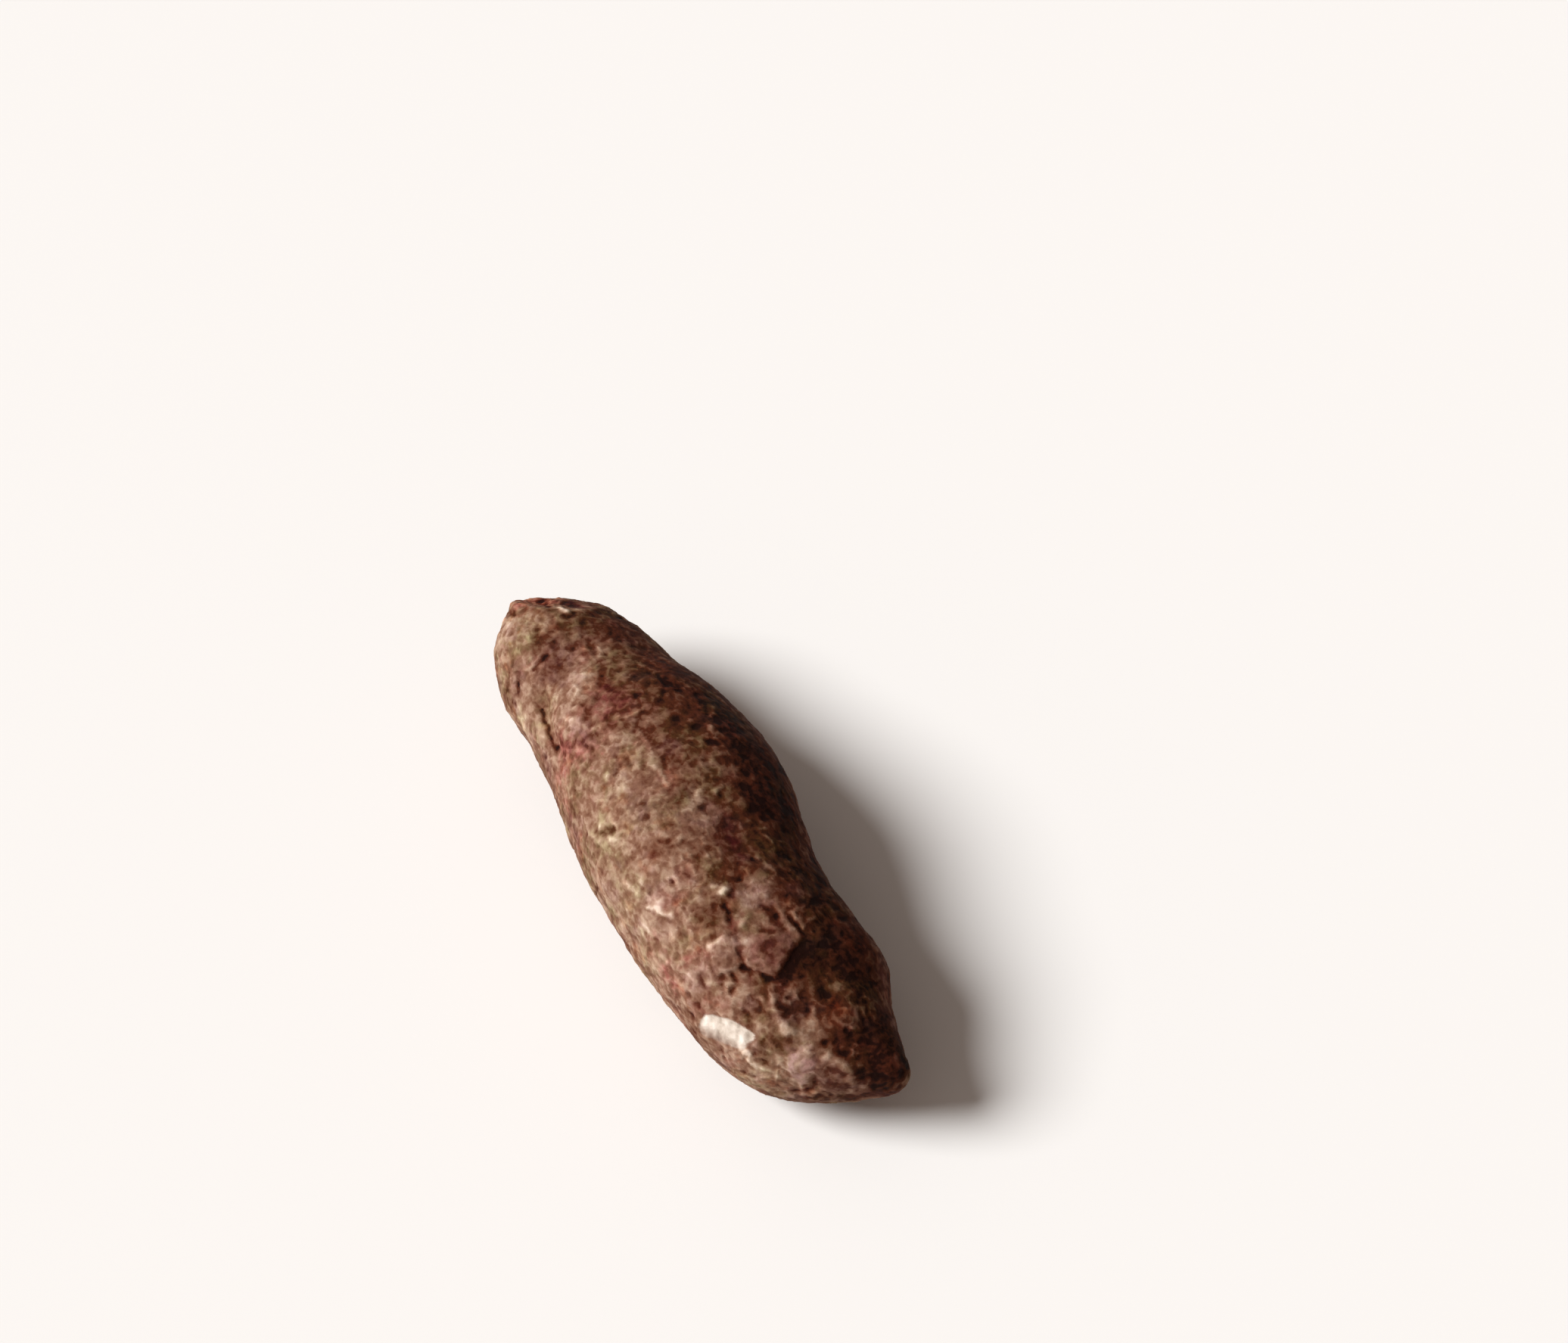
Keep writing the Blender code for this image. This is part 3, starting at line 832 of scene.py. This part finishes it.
def put_seen_marks(skin):
    for rise, tone, reach, pixels in SEEN_MARKS:
        tone *= PALE_MARK_TONE if tone > 0 else DARK_MARK_TONE
        skin.mark([skin.seen_at(pixel) for pixel in pixels], MARK_RISE * rise, tone, reach)
    for name, strength, reach, pixels in SEEN_TINTS:
        skin.tint(name, [skin.seen_at(pixel) for pixel in pixels], TINT_SHARE * strength, reach)
    for rise, calm, name, strength, outline in SEEN_PLATES:
        near, share = skin.inside([skin.seen_at(pixel) for pixel in outline], PLATE_EDGE, PLATE_RAGGED)
        skin.rise[near] = (1 - calm * share) * skin.rise[near] + rise * share
        skin.tone[near] *= 1 - calm * share
        skin.tints[name][near] = np.maximum(skin.tints[name][near], strength * share)


def scuff_skin(skin):
    # The bare patch: torn off a little below the bark, with faint bands across it, and rubbed thin
    # towards its lower edge so that the bark shows through there
    corners = [skin.seen_at(pixel) for pixel in SCUFFED_PATCH]
    near, share = skin.inside(corners, SCUFF_EDGE, SCUFF_RAGGED)
    along = corners[SCUFF_LONG_ENDS[1]] - corners[SCUFF_LONG_ENDS[0]]
    along /= np.linalg.norm(along)
    down = skin.seen_at(SCUFF_THIN_END) - corners[SCUFF_LONG_ENDS[0]]
    down -= (down @ along) * along
    width = np.linalg.norm(down)
    low = (skin.points[near] - corners[SCUFF_LONG_ENDS[0]]) @ down / width ** 2
    low += SCUFF_THIN_RAGGED * skin.wobble[near]
    share *= 1 - SCUFF_THINNING * soft_step(*SCUFF_THIN_SPAN, low)
    steps = skin.points[near] @ along / SCUFF_BAND
    bends = SCUFF_BAND_BEND * skin.wobble[near]
    bands = np.array([noise.noise(Vector((step, bend, 0))) for step, bend in zip(steps, bends)])
    skin.rise[near] -= SCUFF_DEPTH * share
    skin.tone[near] = (1 - share) * skin.tone[near] + share * (SCUFF_TONE + SCUFF_BAND_TONE * bands)
    skin.tints["bare"] = np.zeros(len(skin.points))
    skin.tints["bare"][near] = share


# The rest of the skin, which the photograph doesn't show: how many, rise, tone, reach, length
HIDDEN_MARKS = (
    (130, -0.3, -0.6, 0.9, 0.0),
    (90, 0.3, 0.7, 0.9, 0.0),
    (60, -0.2, -0.4, 1.4, 3.0),
    (30, -0.35, -0.7, 0.7, 9.0),
    (55, 0.25, 0.5, 0.9, 7.0),
)
HIDDEN_SEED = 11
# The skin counts as unseen where it faces the camera by less than this
HIDDEN_FACING = 0.12
# Shares of the rise, tone, reach and length that a mark has
HIDDEN_PARTS = (0.5, 1.2)
WALK_STEP = 1.6
WALK_TURN = 0.6
# Root scars: a pit in part of a raised ring. Rim and pit are rise, tone, reach and raggedness, the
# pit's reach as a share of the ring's. A sweep is in radians, and the full one closes the ring
HIDDEN_RINGS = 9
RING_REACH = 2.0
RING_PARTS = (0.6, 1.2)
RING_SWEEPS = (1.8, 5.2)
RING_RIM = (0.3, 0.6, 0.8, 0.9)
RING_PIT = (-0.3, -0.7, 0.5, 0.9)
FULL_SWEEP = 6.3
RING_SPOTS = 12
RING_LEAN = (0.3, 0.2, 1.0)
# Plates: flakes of outer bark that stand up a little. The last three are shares of a plate's reach
HIDDEN_PLATES = 12
PLATE_RISE = 0.32
PLATE_REACH = (3.5, 8.0)
PLATE_END = 1.5
PLATE_WANDER = 0.25
PLATE_BORDER = 0.8


def walk(skin, start, length, chance):
    # A winding line over the skin from a starting spot
    spots = [start]
    course = chance.normal(size=3)
    for _ in range(round(length / WALK_STEP)):
        course = course / np.linalg.norm(course) + WALK_TURN * chance.normal(size=3)
        out = np.array(skin.surface.find_nearest(Vector(spots[-1]))[1])
        course = course - (course @ out) * out
        ahead = spots[-1] + WALK_STEP * course / np.linalg.norm(course)
        spots.append(np.array(skin.surface.find_nearest(Vector(ahead))[0]))
    return spots


def ring_round(skin, centre, reach, sweep=FULL_SWEEP):
    # Spots on a ring, or part of one, that lies on the skin round its centre
    out = np.array(skin.surface.find_nearest(Vector(centre))[1])
    across = np.cross(out, RING_LEAN)
    across /= np.linalg.norm(across)
    upwards = np.cross(out, across)
    turns = np.linspace(0.0, sweep, RING_SPOTS)
    return [centre + reach * (math.cos(t) * across + math.sin(t) * upwards) for t in turns]


def put_hidden_marks(skin):
    chance = np.random.default_rng(HIDDEN_SEED)
    away = skin.points[skin.normals @ np.array(CAMERA_BACK) < HIDDEN_FACING]
    for count, rise, tone, reach, length in HIDDEN_MARKS:
        for start in chance.choice(away, count):
            part = chance.uniform(*HIDDEN_PARTS)
            path = walk(skin, start, length * part, chance)
            skin.mark(path, rise * part, tone * part, reach * part)
    rise, tone, share, ragged = RING_PIT
    for centre in chance.choice(away, HIDDEN_RINGS):
        reach = RING_REACH * chance.uniform(*RING_PARTS)
        skin.mark(ring_round(skin, centre, reach, chance.uniform(*RING_SWEEPS)), *RING_RIM)
        skin.mark([centre], rise, tone, share * reach, ragged)
    for centre in chance.choice(away, HIDDEN_PLATES):
        reach = chance.uniform(*PLATE_REACH)
        near = skin.near(centre[None], PLATE_END * reach)
        gap = skin.gap_to([centre], near) + PLATE_WANDER * reach * skin.wobble[near]
        depth = PLATE_BORDER * reach - gap
        skin.rise[near] += PLATE_RISE * soft_step(-PLATE_EDGE, PLATE_EDGE, depth)


# Stem scar at the crown: its middle, its reach and the strength of its rusty tint
SCAR_MIDDLE = (-86.7, -5.2, 36.5)
SCAR_REACH = 6.5
SCAR_RUST = 0.7
# Its hollow, its torn rim and the groove outside that: rise, tone, reach and raggedness
SCAR_HOLLOW = (-0.6, -0.9, 0.3 * SCAR_REACH, 0.9)
SCAR_RIM = (0.8, 0.8, 1.3, 0.5)
SCAR_GROOVE = (-0.4, -0.8, 0.9, 0.6)
SCAR_GROOVE_OUT = 1.4
# The bundle ends in it: how many, shares of its reach where they stand, rise and tone, reach
SCAR_BUNDLES = 15
BUNDLE_PLACES = (0.3, 0.75)
BUNDLE_LOOK = (0.4, 1.1)
BUNDLE_REACH = (0.6, 0.9)
SCAR_SEED = 5


def dress_stem_scar(skin):
    # Dark fibrous hollow with pale bundle ends round it, inside a torn corky rim
    chance = np.random.default_rng(SCAR_SEED)
    middle = np.array(SCAR_MIDDLE)
    skin.mark([middle], *SCAR_HOLLOW)
    skin.tint("rust", [middle], SCAR_RUST, SCAR_REACH)
    skin.mark(ring_round(skin, middle, SCAR_REACH), *SCAR_RIM)
    skin.mark(ring_round(skin, middle, SCAR_GROOVE_OUT * SCAR_REACH), *SCAR_GROOVE)
    for turn in range(SCAR_BUNDLES):
        ring = ring_round(skin, middle, SCAR_REACH * chance.uniform(*BUNDLE_PLACES))
        skin.mark([ring[turn % len(ring)]], *BUNDLE_LOOK, chance.uniform(*BUNDLE_REACH))


def dust_and_shade_level(skin):
    # Blend of the levels around the spots, with ragged borders, and the usual level elsewhere. It
    # holds dust and bare skin, and painted shade along the right flank
    total = np.full(len(skin.points), ELSEWHERE_WEIGHT * ELSEWHERE_LEVEL)
    weights = np.full(len(skin.points), ELSEWHERE_WEIGHT)
    ragged = 1 + LEVEL_RAGGED * skin.grain(LEVEL_RAGGED_SIZE, LEVEL_FIELD)
    spots = [(level, reach, skin.seen_at(pixel)) for level, reach, pixel in SEEN_LEVELS]
    for level, reach, place in spots + list(FLANK_SHADE_LEVELS):
        gap = np.linalg.norm(skin.points - place, axis=1) / reach * ragged
        weight = np.exp(-gap ** 2)
        total += weight * level
        weights += weight
    return total / weights


# Shade of the skin from 0, deep in a crack, to 1, a dusty ridge. Relief is how far a point stands
# above the skin round it, which is evened out in that many rounds. The skin is made darker where it
# lies lower, as painted shade in the hollows, and paler where it stands higher, as dust on the
# ridges. The levels add painted shade along the right flank
SHADE_MIDDLE = 0.5
RELIEF_ROUNDS = 40
RELIEF_SHARE = 0.5
TONE_SHARE = 0.25
LEVEL_SHARE = 0.55
TONE_LIMITS = (-1.3, 1.8)
# Paler and darker patches all over: size and share
PATCHES = ((5.5, 0.16), (17.0, 0.14))


def skin_shade(skin):
    raised = skin.rise - softened(skin.rise, skin.edges, RELIEF_ROUNDS)
    tone = np.clip(skin.tone, *TONE_LIMITS)
    shade = SHADE_MIDDLE + RELIEF_SHARE * raised + TONE_SHARE * tone + LEVEL_SHARE * dust_and_shade_level(skin)
    for number, (size, share) in enumerate(PATCHES, PATCH_FIELDS):
        shade += share * skin.grain(size, number)
    return shade


# Each tint's colours from the darkest hollow to the palest dust. The dark end also serves the
# painted shade along the right flank
EARTH = ("#1e0702", "#4e2412", "#7b5845", "#a68974", "#d6bfac")
TINT_COLOURS = {
    "olive": ("#180a02", "#452d12", "#766042", "#a2916e", "#d1c29e"),
    "rose": ("#220603", "#57241b", "#8d5449", "#b78274", "#ddb8a8"),
    "lilac": ("#1c0a0a", "#4d2c28", "#836057", "#ae8b81", "#d5bdb4"),
    "rust": ("#240702", "#5a220e", "#8a4c2e", "#b57a54", "#d6a47c"),
    "wine": ("#1a0303", "#40110d", "#66302a", "#935a50", "#bb8a7e"),
    "bare": ("#75665a", "#a09082", "#cabcae", "#e3d8cd", "#f7f0e9"),
}


def ramp(tree, colours, socket):
    made = add(tree, "ShaderNodeValToRGB", {}, {"Fac": socket})
    stops = made.color_ramp.elements
    for k in range(1, len(colours) - 1):
        stops.new(k / (len(colours) - 1))
    for stop, code in zip(stops, colours):
        stop.color = colour(code)
    return made.outputs["Color"]


# Fine wrinkles, mottle and speckle of the dusty bark: size, detail and distortion of their fields,
# and how much of the shade they move. A field's middle value leaves the shade as it is
WRINKLES = (2.3, 0.3, 0.6)
WRINKLE_SOFTNESS = 0.16
WRINKLE_SHARE = 0.15
MOTTLE = (1.3, 3.0, 0.8)
MOTTLE_SHARE = 0.3
SPECKLE = (0.6, 2.0, 0.0)
SPECKLE_SHARE = 0.07
FIELD_MIDDLE = 0.5
# Field that breaks up the tints, and how its values turn into shares of them
TINT_BREAK = (2.6, 2.0, 0.0)
TINT_BREAK_RANGE = {"From Min": 0.35, "From Max": 0.65, "To Min": 0.3, "To Max": 1.5}
FINE_DEPTH = 0.4
SKIN_ROUGHNESS = 0.95
SKIN_GLOSS = 0.12


def noise_of(tree, place, size, detail, distortion):
    settings = {"Scale": 1 / (size * MM), "Detail": detail, "Distortion": distortion}
    return add(tree, "ShaderNodeTexNoise", settings, {"Vector": place}).outputs["Fac"]


def wrinkles(tree, place):
    # Short winding strokes of raised bark, 1 on a stroke and 0 between strokes
    field = noise_of(tree, place, *WRINKLES)
    settings = {
        "interpolation_type": "SMOOTHSTEP",
        "From Min": FIELD_MIDDLE - WRINKLE_SOFTNESS,
        "From Max": FIELD_MIDDLE + WRINKLE_SOFTNESS,
    }
    return add(tree, "ShaderNodeMapRange", settings, {"Value": field}).outputs[0]


def skin_value(tree, place):
    # The shade worked out at each point, moved by the wrinkles, mottle and speckle
    value = add(tree, "ShaderNodeAttribute", {"attribute_name": "shade"}).outputs["Fac"]
    parts = (
        (wrinkles(tree, place), WRINKLE_SHARE),
        (noise_of(tree, place, *MOTTLE), MOTTLE_SHARE),
        (noise_of(tree, place, *SPECKLE), SPECKLE_SHARE),
    )
    for part, share in parts:
        adding = {"operation": "MULTIPLY_ADD", 1: share}
        moved = add(tree, "ShaderNodeMath", adding, {0: part, 2: value}).outputs[0]
        centring = {"operation": "SUBTRACT", 1: share * FIELD_MIDDLE}
        value = add(tree, "ShaderNodeMath", centring, {0: moved}).outputs[0]
    return value


def skin_material(names):
    # Cork-like outer bark of the tuber: dry and rough, dusty on its ridges and dark in its pits, where
    # part of the dark is painted shade, as is the dark along its right flank. The tints are broken up,
    # apart from the bare patch, which is even
    mat = bpy.data.materials.new("corky yam skin")
    mat.use_nodes = True
    tree = mat.node_tree
    shader = tree.nodes["Principled BSDF"]
    place = add(tree, "ShaderNodeTexCoord").outputs["Object"]
    value = skin_value(tree, place)
    breaking = {"Value": noise_of(tree, place, *TINT_BREAK)}
    broken = add(tree, "ShaderNodeMapRange", TINT_BREAK_RANGE, breaking).outputs[0]
    base = ramp(tree, EARTH, value)
    for name in names:
        mask = add(tree, "ShaderNodeAttribute", {"attribute_name": name}).outputs["Fac"]
        if name != "bare":
            scaling = {"operation": "MULTIPLY", "use_clamp": True}
            mask = add(tree, "ShaderNodeMath", scaling, {0: mask, 1: broken}).outputs[0]
        own = ramp(tree, TINT_COLOURS[name], value)
        mixed = add(tree, "ShaderNodeMixRGB", {}, {"Fac": mask, "Color1": base, "Color2": own})
        base = mixed.outputs["Color"]
    tree.links.new(base, shader.inputs["Base Color"])
    bump = add(tree, "ShaderNodeBump", {"Distance": FINE_DEPTH * MM}, {"Height": value})
    tree.links.new(bump.outputs["Normal"], shader.inputs["Normal"])
    shader.inputs["Roughness"].default_value = SKIN_ROUGHNESS
    shader.inputs["Specular IOR Level"].default_value = SKIN_GLOSS
    return mat


def write_attribute(mesh, name, values):
    made = mesh.attributes.new(name, "FLOAT", "POINT")
    made.data.foreach_set("value", values.astype(np.float32))


def make_skin():
    # Vector noise is seeded from the clock unless it is given a seed
    noise.seed_set(BEND_SEED)
    skin = Skin(fine_mesh())
    grow_bark(skin)
    drift_tints(skin)
    put_seen_marks(skin)
    put_hidden_marks(skin)
    dress_stem_scar(skin)
    scuff_skin(skin)
    grown = skin.points + skin.normals * skin.rise[:, None]
    grown[:, 2] = np.maximum(grown[:, 2], 0.0)
    write_points(skin.mesh, grown)
    skin.mesh.shade_smooth()
    write_attribute(skin.mesh, "shade", skin_shade(skin))
    for name, mask in skin.tints.items():
        write_attribute(skin.mesh, name, mask)
    skin.mesh.materials.append(skin_material(list(skin.tints)))
    tuber = new_object("yam_skin", skin.mesh)
    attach(tuber, "root")
    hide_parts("tuber")


bpy.context.scene.view_settings.view_transform = "Standard"
place_camera()
make_floor()
make_lights()
make_world()
make_skin()
